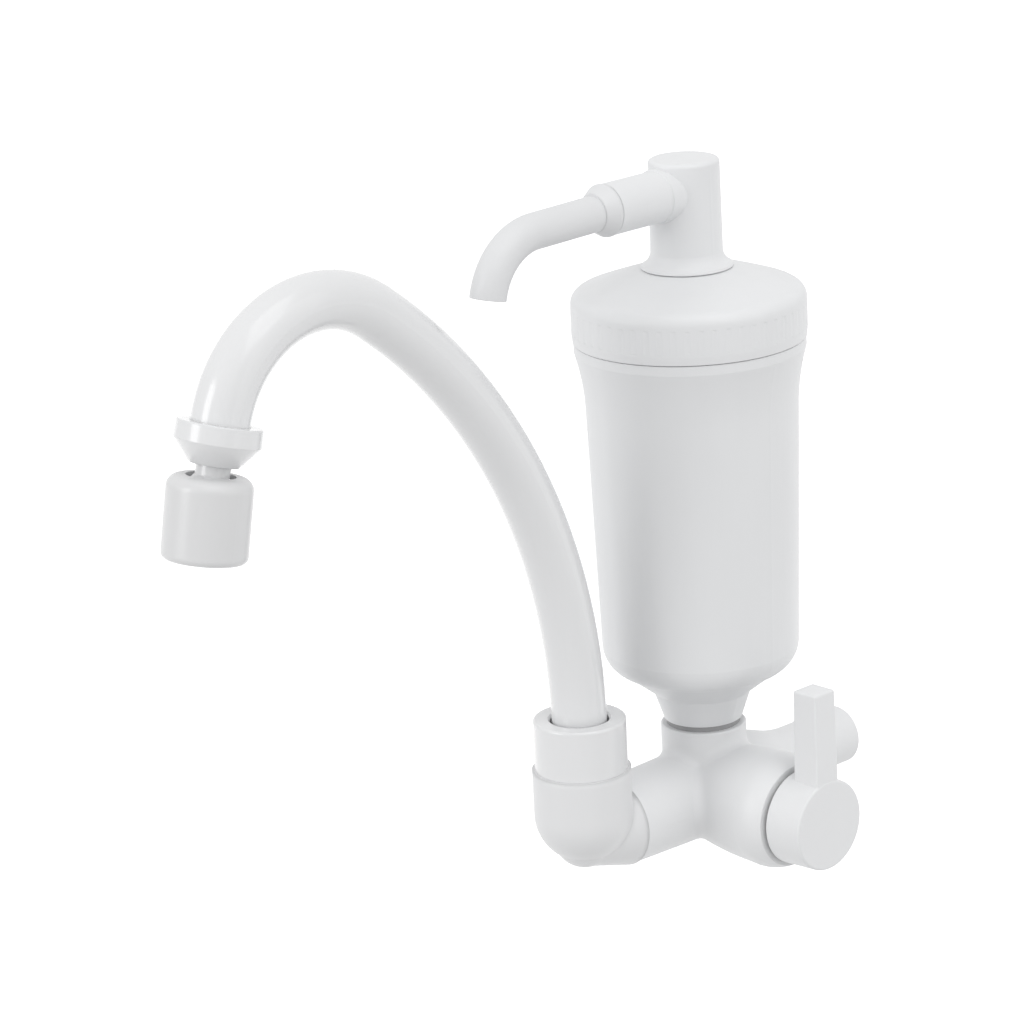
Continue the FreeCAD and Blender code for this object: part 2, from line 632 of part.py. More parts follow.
def spindle():
    """Turning shaft: drive plate, round stem and the square that carries the lever."""
    stem = turned([
        (0, DRIVE_PLATE_AT), (MOVING_R, DRIVE_PLATE_AT), (MOVING_R, DRIVE_PLATE_END),
        (SPINDLE_R, DRIVE_PLATE_END), (SPINDLE_R, SPINDLE_SHOULDER), (0, SPINDLE_SHOULDER),
    ], CROSS, TO_SIDE)
    half = SPINDLE_SQUARE / 2
    square = Part.makeBox(SPINDLE_END - SPINDLE_SHOULDER, SPINDLE_SQUARE, SPINDLE_SQUARE,
                          Vector(SPINDLE_SHOULDER, CROSS.y - half, -half))
    stem = stem.fuse([square] + drive_lugs(STATIC))
    return stem.cut(groove(SPINDLE_R, CARTRIDGE_SHOULDER, CROSS, TO_SIDE)).removeSplitter()


def spindle_oring():
    """Seal of the spindle in its bearing."""
    bottom = SPINDLE_R - GROOVE_DEPTH
    return o_ring(bottom, SPINDLE_R + RUNNING - SEAL_GAP, CARTRIDGE_SHOULDER, CROSS, TO_SIDE)


def cartridge_nut():
    """Threaded ring with spanner slots that presses the cartridge in."""
    outer = NUT_BORE_R - STATIC
    end = CARTRIDGE_TOWER_TOP
    nut = ring(outer, CARTRIDGE_TOWER_R + STATIC, CARTRIDGE_SHOULDER, end, CROSS, TO_SIDE)
    corner_low = Vector(end - NUT_SLOT_DEPTH, CROSS.y - NUT_SLOT / 2, (outer + CARTRIDGE_TOWER_R) / 2)
    slot = Part.makeBox(NUT_SLOT_DEPTH + OVERCUT, NUT_SLOT, outer, corner_low)
    return nut.cut(around(slot, NUT_SLOT_COUNT, CROSS, TO_SIDE))


def lever_handle():
    """Round knob with a square lever bar that stands up when the tap is shut."""
    knob = turned([
        (0, KNOB_INNER_FACE), (KNOB_R, KNOB_INNER_FACE),
        (KNOB_FACE_R, KNOB_OUTER_FACE), (0, KNOB_OUTER_FACE),
    ], CROSS, TO_SIDE)
    tip = KNOB_OUTER_FACE - (LEVER_DEPTH_ROOT - LEVER_DEPTH_TOP) / 2
    sections = []
    for x_high, width, depth, height in (
        (KNOB_OUTER_FACE, LEVER_WIDTH_ROOT, LEVER_DEPTH_ROOT, 0),
        (tip, LEVER_WIDTH_TOP, LEVER_DEPTH_TOP, LEVER_TOP),
    ):
        corners = []
        for dx, dy in ((0, -0.5), (0, 0.5), (-1, 0.5), (-1, -0.5)):
            corners.append(Vector(x_high + dx * depth, CROSS.y + dy * width, height))
        sections.append(Part.makePolygon(corners + corners[:1]))
    bar = Part.makeLoft(sections, True, True)
    bar = bar.makeFillet(LEVER_EDGE, [edge for edge in bar.Edges if edge.BoundBox.ZMax > LEVER_EDGE])
    rims = [edge for edge in knob.Edges if edge.BoundBox.XMin > KNOB_OUTER_FACE - FACE_GAP]
    handle = knob.makeFillet(LEVER_EDGE, rims).fuse(bar).removeSplitter()
    open_end = KNOB_INNER_FACE - OVERCUT
    cavity = ring(KNOB_R - KNOB_WALL, KNOB_HUB_R, open_end, KNOB_INNER_FACE + KNOB_CAVITY_DEPTH,
                  CROSS, TO_SIDE)
    socket_side = SPINDLE_SQUARE + 2 * STATIC
    socket = Part.makeBox(SPINDLE_END + FACE_GAP - open_end, socket_side, socket_side,
                          Vector(open_end, CROSS.y - socket_side / 2, -socket_side / 2))
    screw_way = rod(GRUB_R + STATIC, 0, KNOB_R + OVERCUT, GRUB_CENTRE, DOWN)
    return handle.cut([cavity, socket, screw_way])


def handle_screw():
    """Grub screw from below that holds the lever on the square."""
    start = SPINDLE_SQUARE / 2
    end = start + GRUB_LENGTH
    screw = rod(GRUB_R, start, end, GRUB_CENTRE, DOWN)
    angles = [2 * math.pi * k / HEX_SIDES for k in range(HEX_SIDES + 1)]
    hexagon = Part.makePolygon([Vector(math.cos(a), math.sin(a), 0) * HEX_KEY_R for a in angles])
    key_way = Part.Face(hexagon).extrude(UP * (HEX_KEY_DEPTH + OVERCUT))
    return screw.cut(placed(key_way, GRUB_CENTRE + DOWN * (end - HEX_KEY_DEPTH), DOWN))


def spout_elbow():
    """Elbow with a rounded corner that turns the water up, and a spigot in the front arm."""
    spigot_end = ELBOW_ARM_LENGTH + ELBOW_SPIGOT_LENGTH - FACE_GAP
    upright = turned(round_end(ELBOW_R, ELBOW_BALL_HEIGHT) + [
        (ELBOW_R, ELBOW_SEAM), (ELBOW_THREAD_R, ELBOW_SEAM), (ELBOW_THREAD_R, ELBOW_TOP), (0, ELBOW_TOP),
    ], SPOUT_AXIS)
    arm = turned(round_end(ELBOW_ARM_R, 0) + [
        (ELBOW_END_R, ELBOW_ARM_LENGTH), (ELBOW_SPIGOT_R, ELBOW_ARM_LENGTH),
        (ELBOW_SPIGOT_R, spigot_end), (0, spigot_end),
    ], SPOUT_AXIS, TO_WALL)
    body = upright.fuse(arm).removeSplitter()
    return body.cut([
        rod(TUBE_R + RUNNING, SPOUT_SOCKET_FLOOR, ELBOW_TOP + OVERCUT, SPOUT_AXIS),
        rod(ELBOW_DUCT_R, 0, SPOUT_SOCKET_FLOOR + OVERCUT, SPOUT_AXIS),
        Part.makeSphere(ELBOW_DUCT_R, SPOUT_AXIS),
        rod(ELBOW_DUCT_R, 0, ELBOW_REACH, SPOUT_AXIS, TO_WALL),
        groove(ELBOW_SPIGOT_R, ELBOW_ARM_LENGTH + ELBOW_SEAL_INSET, SPOUT_AXIS, TO_WALL),
    ])


def elbow_oring():
    """Seal of the elbow's spigot in the front arm."""
    seal_at = ELBOW_ARM_LENGTH + ELBOW_SEAL_INSET
    return o_ring(ELBOW_SPIGOT_R - GROOVE_DEPTH, ELBOW_SPIGOT_R + STATIC, seal_at, SPOUT_AXIS, TO_WALL)


def spout_nut():
    """Collar nut that holds the spout's retaining ring down."""
    lip = NUT_TOP - NUT_LIP
    profile = [(ELBOW_THREAD_R + STATIC, ELBOW_SEAM), (NUT_R, ELBOW_SEAM)]
    profile += corner((NUT_R, ELBOW_SEAM), (NUT_R, NUT_TOP), (NUT_HOLE_R, NUT_TOP), NUT_ROUND)
    profile += [(NUT_HOLE_R + NUT_HOLE_CHAMFER, NUT_TOP), (NUT_HOLE_R, NUT_TOP - NUT_HOLE_CHAMFER)]
    profile += [(NUT_HOLE_R, lip)]
    profile += [(ELBOW_THREAD_R + STATIC, lip)]
    return turned(profile, SPOUT_AXIS)


def spout_runs():
    """The route of the swan neck from its foot to its end."""
    return [
        ("straight", TUBE_BEND_START - TUBE_FOOT),
        ("bend", RISE_RADIUS, RISE_ANGLE),
        ("bend", CROWN_RADIUS, CROWN_ANGLE),
        ("straight", TUBE_END_RUN),
    ]


def swan_neck(radius):
    """A rod along the swan neck's route, and the centre and direction of its end."""
    return bent_rod(radius, SPOUT_AXIS + UP * TUBE_FOOT, 0, spout_runs())


def spout_tube():
    """Swan-neck spout with grooves on its foot and a flare that meets the aerator nut."""
    cuts = [groove(TUBE_R, TUBE_FOOT + inset, SPOUT_AXIS) for inset in SPOUT_SEAL_INSETS]
    ring_groove = RETAINING_RING_THICKNESS + 2 * STATIC
    cuts.append(groove(TUBE_R, SPOUT_RING_AT, SPOUT_AXIS, UP, ring_groove))
    nut_top, along, _, _ = aerator_frame()
    root, mouth = (TUBE_FLARE_ROOT_R, -TUBE_FLARE_LENGTH), (TUBE_FLARE_R, -STATIC)
    profile = [(0, -TUBE_FLARE_LENGTH), root, bowed(root, mouth, TUBE_FLARE_BULGE), (0, -STATIC)]
    outside = swan_neck(TUBE_R)[0].fuse(turned(profile, nut_top, along))
    return outside.cut([swan_neck(TUBE_R - TUBE_WALL)[0]] + cuts)


def spout_orings():
    """The two seals between the spout's foot and the elbow."""
    seals = {}
    for name, inset in zip(("spout_oring_lower", "spout_oring_upper"), SPOUT_SEAL_INSETS):
        outer = TUBE_R + RUNNING - SEAL_GAP
        seals[name] = o_ring(TUBE_R - GROOVE_DEPTH, outer, TUBE_FOOT + inset, SPOUT_AXIS)
    return seals


def spout_retaining_ring():
    """Split ring on the spout's foot that the collar nut holds down."""
    half = RETAINING_RING_THICKNESS / 2
    low, high = SPOUT_RING_AT - half, SPOUT_RING_AT + half
    solid = ring(RETAINING_RING_R, TUBE_R - GROOVE_DEPTH, low, high, SPOUT_AXIS)
    split = box_on(RETAINING_RING_SPLIT, RETAINING_RING_R, low - OVERCUT, high + OVERCUT,
                   SPOUT_AXIS + TO_FRONT * RETAINING_RING_R)
    return solid.cut(split)


def aerator_frame():
    """Nut's upper face centre, nut direction, ball centre and head direction."""
    _, end, along = swan_neck(TUBE_R)
    nut_top = end - along * AERATOR_NUT_GRIP
    ball = nut_top + along * (AERATOR_NUT_LENGTH + BALL_DISTANCE)
    lean = math.radians(HEAD_TILT)
    return nut_top, along, ball, Vector(0, -math.sin(lean), -math.cos(lean))


def aerator_gasket():
    """Flat seal between the spout's end and the ball stem."""
    nut_top, along, _, _ = aerator_frame()
    end = AERATOR_NUT_GRIP + GASKET_THICKNESS
    return ring(TUBE_R, GASKET_BORE_R, AERATOR_NUT_GRIP, end, nut_top, along)


def aerator_nut():
    """Nut on the spout's end, with a cone that holds the ball stem."""
    nut_top, along, _, _ = aerator_frame()
    flange_end = AERATOR_NUT_GRIP + GASKET_THICKNESS + STEM_FLANGE
    inner_r = TUBE_R + STATIC
    band_end = (AERATOR_NUT_BAND_R, AERATOR_NUT_BAND)
    cone_end = (AERATOR_NUT_CONE_R, AERATOR_NUT_LENGTH)
    hole = (AERATOR_NUT_HOLE_R, AERATOR_NUT_LENGTH)
    profile = [(inner_r, 0), (AERATOR_NUT_TOP_R - AERATOR_NUT_CHAMFER, 0)]
    profile += [(AERATOR_NUT_TOP_R, AERATOR_NUT_CHAMFER), band_end]
    profile += corner(band_end, cone_end, hole, AERATOR_NUT_EDGE)
    profile += [hole, (AERATOR_NUT_HOLE_R, flange_end + STEM_CONE), (inner_r, flange_end)]
    return turned(profile, nut_top, along)


def ball_stem():
    """Stem with a flange in the nut and a bored ball in the aerator head."""
    nut_top, along, ball, _ = aerator_frame()
    flange = AERATOR_NUT_GRIP + GASKET_THICKNESS
    flange_end = flange + STEM_FLANGE - STATIC
    centre = AERATOR_NUT_LENGTH + BALL_DISTANCE
    stem = turned([
        (0, flange), (TUBE_R, flange), (TUBE_R, flange_end),
        (STEM_NECK_R, flange_end + STEM_CONE), (STEM_NECK_R, centre), (0, centre),
    ], nut_top, along)
    stem = stem.fuse(Part.makeSphere(BALL_R, ball))
    below = rod(BALL_R + OVERCUT, BALL_FLAT, BALL_R + OVERCUT, ball, along)
    return stem.cut([below, rod(STEM_BORE_R, 0, centre + BALL_R + OVERCUT, nut_top, along)])


def ball_seal():
    """Ring under the ball that presses it up against the head."""
    _, _, ball, down = aerator_frame()
    cup = Part.makeSphere(BALL_R + FACE_GAP, ball)
    body = ring(HEAD_BORE_R - RUNNING, BALL_SEAL_BORE_R, BALL_SEAL_TOP, BALL_SEAL_BOTTOM, ball, down)
    return body.cut(cup)


def aerator_shell():
    """Outer cup of the aerator head, whose mouth keeps the ball in."""
    _, _, ball, down = aerator_frame()
    ledge = BALL_SEAL_TOP - FACE_GAP
    profile = [(HEAD_MOUTH_R, -HEAD_TOP)]
    profile += corner((0, -HEAD_TOP), (HEAD_R, -HEAD_TOP), (HEAD_R, 0), HEAD_SHOULDER)
    profile += corner((HEAD_R, 0), (HEAD_R, HEAD_BOTTOM), (0, HEAD_BOTTOM), HEAD_EDGE)
    profile += [(HEAD_BORE_R, HEAD_BOTTOM), (HEAD_BORE_R, ledge), (HEAD_MOUTH_R, ledge)]
    return turned(profile, ball, down).cut(Part.makeSphere(BALL_R + FACE_GAP, ball))


def aerator_insert():
    """Pushed-in aerator body with a plate of small outlet holes."""
    _, _, ball, down = aerator_frame()
    top = BALL_SEAL_BOTTOM + FACE_GAP
    bottom = HEAD_BOTTOM - INSERT_INSET
    plate_top = bottom - INSERT_PLATE
    outer = HEAD_BORE_R - STATIC
    inner = outer - INSERT_RIM
    cup = turned([
        (inner, top), (outer, top), (outer, bottom), (0, bottom), (0, plate_top), (inner, plate_top),
    ], ball, down)
    hole = rod(OUTLET_HOLE_R, plate_top - OVERCUT, bottom + OVERCUT, ball, down)
    sideways = FreeCAD.Rotation(UP, down).multVec(TO_SIDE)
    holes = [hole]
    for k in range(1, OUTLET_HOLE_RINGS + 1):
        outlying = hole.translated(sideways * (k * OUTLET_HOLE_PITCH))
        holes += around(outlying, OUTLET_HOLES * k, ball, down)
    return cup.cut(holes)


def aerator_screen():
    """Round screen that lies on the insert's plate."""
    _, _, ball, down = aerator_frame()
    plate_top = HEAD_BOTTOM - INSERT_INSET - INSERT_PLATE
    outer = HEAD_BORE_R - 2 * STATIC - INSERT_RIM
    return rod(outer, plate_top - SCREEN_THICKNESS, plate_top, ball, down)


def canister():
    """Filter cup: threaded neck, rounded bottom, slim wall and flared threaded rim."""
    cone_top, corner_top = (CUP_CONE_R, CUP_CONE_TOP), (CUP_LOW_R, CUP_CORNER_TOP)
    profile = [(NECK_BORE_R, NECK_SPIGOT_BOTTOM), (NECK_SPIGOT_R, NECK_SPIGOT_BOTTOM)]
    profile += [(NECK_SPIGOT_R, NECK_SEAT), (NECK_SHOULDER_R, NECK_SEAT), (NECK_TOP_R, NECK_TOP)]
    profile += [(CUP_FOOT_R, CUP_FOOT), cone_top, bowed(cone_top, corner_top, CUP_CORNER_BULGE)]
    profile += [(CUP_HIGH_R, CUP_HIGH), swell((CUP_HIGH_R, CUP_HIGH), (CUP_FLARE_R, CUP_FLARE_TOP))]
    profile += [(CUP_FLARE_R, CUP_SEAM), (CUP_THREAD_R, CUP_SEAM), (CUP_THREAD_R, CUP_RIM)]
    rim_inner = CUP_THREAD_R - CUP_WALL
    profile += [(rim_inner, CUP_RIM), (rim_inner, CUP_FLARE_TOP), (CUP_HIGH_R - CUP_WALL, CUP_HIGH)]
    profile += [(CUP_LOW_R - CUP_WALL, CUP_CORNER_TOP), (CUP_FLOOR_R, CUP_FLOOR_EDGE)]
    profile += [(NECK_BORE_R, CUP_FLOOR)]
    return turned(profile)


def neck_oring():
    """Seal between the canister's neck and the body's collar."""
    return ring(NECK_RING_R, NECK_SPIGOT_R + STATIC, COLLAR_TOP, NECK_SEAT)


def cup_floor(radius):
    """Height of the canister's inner floor at a radius."""
    share = (radius - NECK_BORE_R) / (CUP_FLOOR_R - NECK_BORE_R)
    return CUP_FLOOR + (CUP_FLOOR_EDGE - CUP_FLOOR) * share


def carbon_block():
    """Hollow filter element."""
    return ring(ELEMENT_R, ELEMENT_BORE_R, ELEMENT_BOTTOM, ELEMENT_TOP)


def element_bottom_cap():
    """Closed end cap on feet that stand on the canister's floor."""
    inner = ELEMENT_R + STATIC
    outer = inner + CAP_WALL
    underside = ELEMENT_BOTTOM - CAP_WALL
    rim = ELEMENT_BOTTOM + CAP_SKIRT
    cup = turned([
        (0, underside), (outer, underside), (outer, rim), (inner, rim), (inner, ELEMENT_BOTTOM),
        (0, ELEMENT_BOTTOM),
    ])
    outline = [
        (CAP_FOOT_INNER, cup_floor(CAP_FOOT_INNER)), (CAP_FOOT_OUTER, cup_floor(CAP_FOOT_OUTER)),
        (CAP_FOOT_OUTER, underside + CAP_WALL / 2), (CAP_FOOT_INNER, underside + CAP_WALL / 2),
    ]
    corners = [CROSS + Vector(x, -CAP_FOOT_WIDTH / 2, z + STATIC) for x, z in outline + outline[:1]]
    foot = Part.Face(Part.makePolygon(corners)).extrude(Vector(0, CAP_FOOT_WIDTH, 0))
    return cup.fuse(around(foot, CAP_FEET)).removeSplitter()


def element_top_cap():
    """End cap whose spigot carries the filtered water up into the lid."""
    inner = ELEMENT_R + STATIC
    outer = inner + CAP_WALL
    top = ELEMENT_TOP + CAP_WALL
    rim = ELEMENT_TOP - CAP_SKIRT
    cap = turned([
        (OUTLET_BORE_R, ELEMENT_TOP), (inner, ELEMENT_TOP), (inner, rim), (outer, rim), (outer, top),
        (OUTLET_SPIGOT_R, top + CAP_DOME), (OUTLET_SPIGOT_R, OUTLET_SPIGOT_TOP),
        (OUTLET_BORE_R, OUTLET_SPIGOT_TOP),
    ])
    seal_at = OUTLET_SPIGOT_TOP - OUTLET_SEAL_INSET
    return cap.cut(groove(OUTLET_SPIGOT_R, seal_at, width=OUTLET_SEAL_GROOVE))


def element_oring():
    """Seal of the outlet spigot in the lid's socket."""
    height = OUTLET_SPIGOT_TOP - OUTLET_SEAL_INSET
    return o_ring(OUTLET_SPIGOT_R - GROOVE_DEPTH, LID_SOCKET_R - FACE_GAP, height)


def canister_lid():
    """Screw lid with grip flutes, a dome and the bearing of the swivel head."""
    lip = CUP_SEAM + FACE_GAP
    bearing = HEAD_SHAFT_R + RUNNING
    shoulder, dome_edge = (LID_R, LID_SHOULDER), (LID_DOME_EDGE_R, LID_DOME_EDGE)
    hub = (LID_HUB_R, LID_TOP)
    profile = [(LID_BORE_R, lip), (LID_LIP_R, lip), (LID_R, lip + LID_LIP), shoulder]
    profile += [bowed(shoulder, dome_edge, LID_SHOULDER_BULGE), bowed(dome_edge, hub, LID_DOME_BULGE)]
    profile += [(bearing, LID_TOP), (bearing, LID_STEP), (LID_SOCKET_R, LID_STEP)]
    profile += [(LID_SOCKET_R, LID_BOSS_BOTTOM), (LID_BOSS_R, LID_BOSS_BOTTOM)]
    profile += [(LID_BOSS_R, LID_BOSS_CEILING), (LID_CEILING_R, LID_CEILING)]
    profile += [(LID_CEILING_R, LID_ROOF), (LID_BORE_R, LID_ROOF)]
    bite_r = (GRIP_WIDTH ** 2 / 4 + GRIP_DEPTH ** 2) / (2 * GRIP_DEPTH)
    beside = CROSS + TO_SIDE * (LID_R - GRIP_DEPTH + bite_r)
    bite = rod(bite_r, lip + LID_LIP + GRIP_INSET, LID_SHOULDER - GRIP_INSET, beside)
    return turned(profile).cut(around(bite, GRIP_COUNT))


def lid_gasket():
    """Flat seal under the lid's roof, above the canister's rim."""
    return ring(CUP_THREAD_R, CUP_THREAD_R - CUP_WALL, CUP_RIM + FACE_GAP, LID_ROOF)


def head_column():
    """Swivel head: shaft in the lid, flared foot, upright column and the branch for the spout."""
    foot = LID_TOP + FACE_GAP
    flare_foot = (HEAD_FLANGE_R - HEAD_FLANGE_DRAFT, foot + HEAD_FLANGE_EDGE)
    flare_top = (HEAD_COLUMN_R, foot + HEAD_FLANGE_EDGE + HEAD_FLARE)
    rim = (HEAD_COLUMN_TOP_R, HEAD_COLUMN_TOP)
    profile = [(0, HEAD_SHAFT_BOTTOM), (HEAD_SHAFT_R, HEAD_SHAFT_BOTTOM), (HEAD_SHAFT_R, foot)]
    profile += [(HEAD_FLANGE_R, foot), flare_foot, bowed(flare_foot, flare_top, HEAD_FLARE_BULGE)]
    profile += corner(flare_top, rim, (0, HEAD_COLUMN_TOP), HEAD_COLUMN_ROUND)
    profile += [(0, HEAD_COLUMN_TOP)]
    spigot_end = BRANCH_LENGTH + BRANCH_SPIGOT_LENGTH
    branch = turned([
        (0, 0), (BRANCH_ROOT_R, 0), (BRANCH_ROOT_R, BRANCH_ROOT_LENGTH),
        (BRANCH_R, BRANCH_ROOT_LENGTH + BRANCH_STEP), (BRANCH_END_R, BRANCH_LENGTH),
        (BRANCH_SPIGOT_R, BRANCH_LENGTH), (BRANCH_SPIGOT_R, spigot_end), (0, spigot_end),
    ], BRANCH_ROOT, TO_FRONT)
    head = turned(profile).fuse(branch).removeSplitter()
    cuts = [
        rod(HEAD_WATERWAY_R, HEAD_SHAFT_BOTTOM - OVERCUT, BRANCH_HEIGHT),
        Part.makeSphere(HEAD_WATERWAY_R, BRANCH_ROOT),
        rod(HEAD_WATERWAY_R, 0, spigot_end + OVERCUT, BRANCH_ROOT, TO_FRONT),
        groove(HEAD_SHAFT_R, HEAD_CLIP_AT, width=HEAD_CLIP_THICKNESS + 2 * STATIC),
        groove(BRANCH_SPIGOT_R, BRANCH_LENGTH + BRANCH_SEAL_INSET, BRANCH_ROOT, TO_FRONT),
    ]
    cuts += [groove(HEAD_SHAFT_R, LID_STEP + inset) for inset in HEAD_SEAL_INSETS]
    return head.cut(cuts)


def head_orings():
    """The two seals between the swivel head's shaft and the lid."""
    seals = {}
    for name, inset in zip(("head_oring_lower", "head_oring_upper"), HEAD_SEAL_INSETS):
        outer = HEAD_SHAFT_R + RUNNING - SEAL_GAP
        seals[name] = o_ring(HEAD_SHAFT_R - GROOVE_DEPTH, outer, LID_STEP + inset)
    return seals


def head_clip():
    """Split clip that keeps the swivel head's shaft in the lid."""
    half = HEAD_CLIP_THICKNESS / 2
    low, high = HEAD_CLIP_AT - half, HEAD_CLIP_AT + half
    solid = ring(HEAD_CLIP_R, HEAD_SHAFT_R - GROOVE_DEPTH, low, high)
    split = box_on(HEAD_CLIP_SPLIT, HEAD_CLIP_R, low - OVERCUT, high + OVERCUT,
                   CROSS + TO_WALL * HEAD_CLIP_R)
    return solid.cut(split)


def filter_spout():
    """Small spout: socket collar on the branch, straight run and a bend down to the tip."""
    start = BRANCH_ROOT + TO_FRONT * BRANCH_LENGTH
    tube_start = start + TO_FRONT * (SPOUT_COLLAR_LENGTH - SMALL_TUBE_LAP) + DOWN * SMALL_TUBE_DROP
    runs = [
        ("straight", SMALL_TUBE_RUN + SMALL_TUBE_LAP),
        ("bend", SMALL_BEND_RADIUS, SMALL_BEND_ANGLE),
        ("straight", SMALL_TIP_RUN),
    ]
    outside, inside = [
        bent_rod(radius, tube_start, 90 + SMALL_TUBE_DROOP, runs)[0]
        for radius in (SMALL_TUBE_R, SMALL_TUBE_R - SMALL_TUBE_WALL)
    ]
    collar = turned([
        (0, 0), (SPOUT_COLLAR_R - SPOUT_COLLAR_CHAMFER, 0), (SPOUT_COLLAR_R, SPOUT_COLLAR_CHAMFER),
        (SPOUT_COLLAR_R, SPOUT_COLLAR_BAND), (SPOUT_COLLAR_END_R, SPOUT_COLLAR_LENGTH),
        (0, SPOUT_COLLAR_LENGTH),
    ], start, TO_FRONT)
    socket = rod(BRANCH_SPIGOT_R + STATIC, -OVERCUT, BRANCH_SPIGOT_LENGTH + FACE_GAP, start, TO_FRONT)
    return collar.fuse(outside).removeSplitter().cut([inside, socket])


def filter_spout_oring():
    """Seal of the small spout's socket on the branch."""
    height = BRANCH_LENGTH + BRANCH_SEAL_INSET
    outer = BRANCH_SPIGOT_R + STATIC
    return o_ring(BRANCH_SPIGOT_R - GROOVE_DEPTH, outer, height, BRANCH_ROOT, TO_FRONT)


PIECES = (
    valve_body, port_seal, fixed_disc, moving_disc, cartridge_housing, cartridge_oring, spindle,
    spindle_oring, cartridge_nut, lever_handle, handle_screw, spout_elbow, elbow_oring, spout_nut,
    spout_tube, spout_retaining_ring, aerator_gasket, aerator_nut, ball_stem, ball_seal,
    aerator_shell, aerator_insert, aerator_screen, canister, neck_oring, carbon_block,
    element_bottom_cap, element_top_cap, element_oring, canister_lid, lid_gasket, head_column,
    head_clip, filter_spout, filter_spout_oring,
)

nodes = {piece.__name__: piece() for piece in PIECES}
nodes.update(spout_orings())
nodes.update(head_orings())

os.makedirs("parts", exist_ok=True)
for name, shape in nodes.items():
    shape.exportStep("parts/" + name + ".step")
    print(name, "solids", len(shape.Solids), "volume", round(shape.Volume), "valid", shape.isValid())
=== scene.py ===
# %% [markdown]
# # A wall tap with a water filter
# The solids come from CAD and are never moved. This lesson gives each of them its finish, adds the
# fine pieces that a solid model leaves out, and sets the camera, the floor and the lamps.

# %% Open the frame
import math

import bmesh
import bpy
from mathutils import Matrix, Vector


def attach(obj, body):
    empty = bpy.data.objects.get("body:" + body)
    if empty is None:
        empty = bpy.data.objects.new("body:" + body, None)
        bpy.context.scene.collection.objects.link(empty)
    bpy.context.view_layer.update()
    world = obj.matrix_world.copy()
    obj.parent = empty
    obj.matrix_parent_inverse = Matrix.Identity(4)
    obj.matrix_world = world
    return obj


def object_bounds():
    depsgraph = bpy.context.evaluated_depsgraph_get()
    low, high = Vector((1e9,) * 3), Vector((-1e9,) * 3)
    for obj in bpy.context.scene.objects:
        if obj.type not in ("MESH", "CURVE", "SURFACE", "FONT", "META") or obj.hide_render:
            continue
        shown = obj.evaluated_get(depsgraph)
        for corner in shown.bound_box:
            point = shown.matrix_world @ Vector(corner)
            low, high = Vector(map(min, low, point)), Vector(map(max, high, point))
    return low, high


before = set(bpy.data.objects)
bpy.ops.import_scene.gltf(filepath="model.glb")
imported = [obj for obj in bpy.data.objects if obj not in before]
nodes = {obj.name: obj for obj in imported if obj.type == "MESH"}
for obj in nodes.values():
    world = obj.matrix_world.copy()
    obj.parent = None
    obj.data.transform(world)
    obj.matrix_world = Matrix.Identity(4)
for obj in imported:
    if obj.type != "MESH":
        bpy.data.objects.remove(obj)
cad_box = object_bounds()
MM = 0.001
CROSS = Vector((0.0, -76.0, 0.0)) * MM      # where the tap's four arms meet
print("CAD box:", [[round(c, 4) for c in corner] for corner in cad_box])

# %% [markdown]
# ## The camera
# The picture is taken from the valve's side, a little above the tap, with a long lens. The numbers
# come from lining up the arms, the canister's rims and the lever. The camera looks at a point left
# of and above the cross, because the cross isn't in the picture's middle.

# %% The camera
VIEW_AZIMUTH = math.radians(47.25)
VIEW_HEIGHT = math.radians(17.02)
VIEW_ROLL = math.radians(2.86)
VIEW_DISTANCE = 1.53935
FOCAL_PIXELS = 4000.0
PICTURE = 1024.0
SENSOR = 36.0
CROSS_PIXEL = (705.82, 786.35)
FARTHEST_SEEN = 20.0

back = Vector((math.sin(VIEW_AZIMUTH) * math.cos(VIEW_HEIGHT),
               -math.cos(VIEW_AZIMUTH) * math.cos(VIEW_HEIGHT),
               math.sin(VIEW_HEIGHT)))
level = Vector((math.cos(VIEW_AZIMUTH), math.sin(VIEW_AZIMUTH), 0.0))
upright = back.cross(level)
right = level * math.cos(VIEW_ROLL) - upright * math.sin(VIEW_ROLL)
up = level * math.sin(VIEW_ROLL) + upright * math.cos(VIEW_ROLL)
pixel = VIEW_DISTANCE / FOCAL_PIXELS
aside = (CROSS_PIXEL[0] - PICTURE / 2) * pixel
below = (CROSS_PIXEL[1] - PICTURE / 2) * pixel
middle = CROSS - right * aside + up * below

lens = bpy.data.cameras.new("camera")
lens.sensor_width = SENSOR
lens.lens = FOCAL_PIXELS / PICTURE * SENSOR
lens.clip_end = FARTHEST_SEEN
camera = bpy.data.objects.new("camera", lens)
camera.matrix_world = Matrix.Translation(middle + back * VIEW_DISTANCE) @ Matrix(
    (right, up, back)).transposed().to_4x4()
bpy.context.scene.collection.objects.link(camera)
bpy.context.scene.camera = camera
print("camera at", [round(c, 3) for c in camera.location], "lens", round(lens.lens, 1), "mm")

# %% [markdown]
# ## Writing finishes as sums
# A finish is a small network of nodes. Wiring it by hand is slow to read, so a socket is wrapped in
# a class whose sums add the Math nodes, and every other node comes from one method.


# %% A socket that takes part in sums
class Tone:
    """One output of a finish's network. A sum, a difference or a product adds a Math node."""

    def __init__(self, finish, socket):
        self.finish = finish
        self.socket = socket

    def math(self, operation, first, second):
        return self.finish.node("ShaderNodeMath", {"operation": operation}, {0: first, 1: second})

    def __add__(self, other):
        return self.math("ADD", self, other)

    def __sub__(self, other):
        return self.math("SUBTRACT", self, other)

    def __mul__(self, other):
        return self.math("MULTIPLY", self, other)

    def __rsub__(self, other):
        return self.math("SUBTRACT", other, self)

    __radd__ = __add__
    __rmul__ = __mul__


print("a socket now takes part in + - *")

# %% [markdown]
# ## One method for every other node
# A finish owns its network. Each node is added with its settings first and its inputs after,
# because a setting such as a Mix node's data type decides which inputs the node has. The owner is
# a material, or later the world, which has the same kind of network.


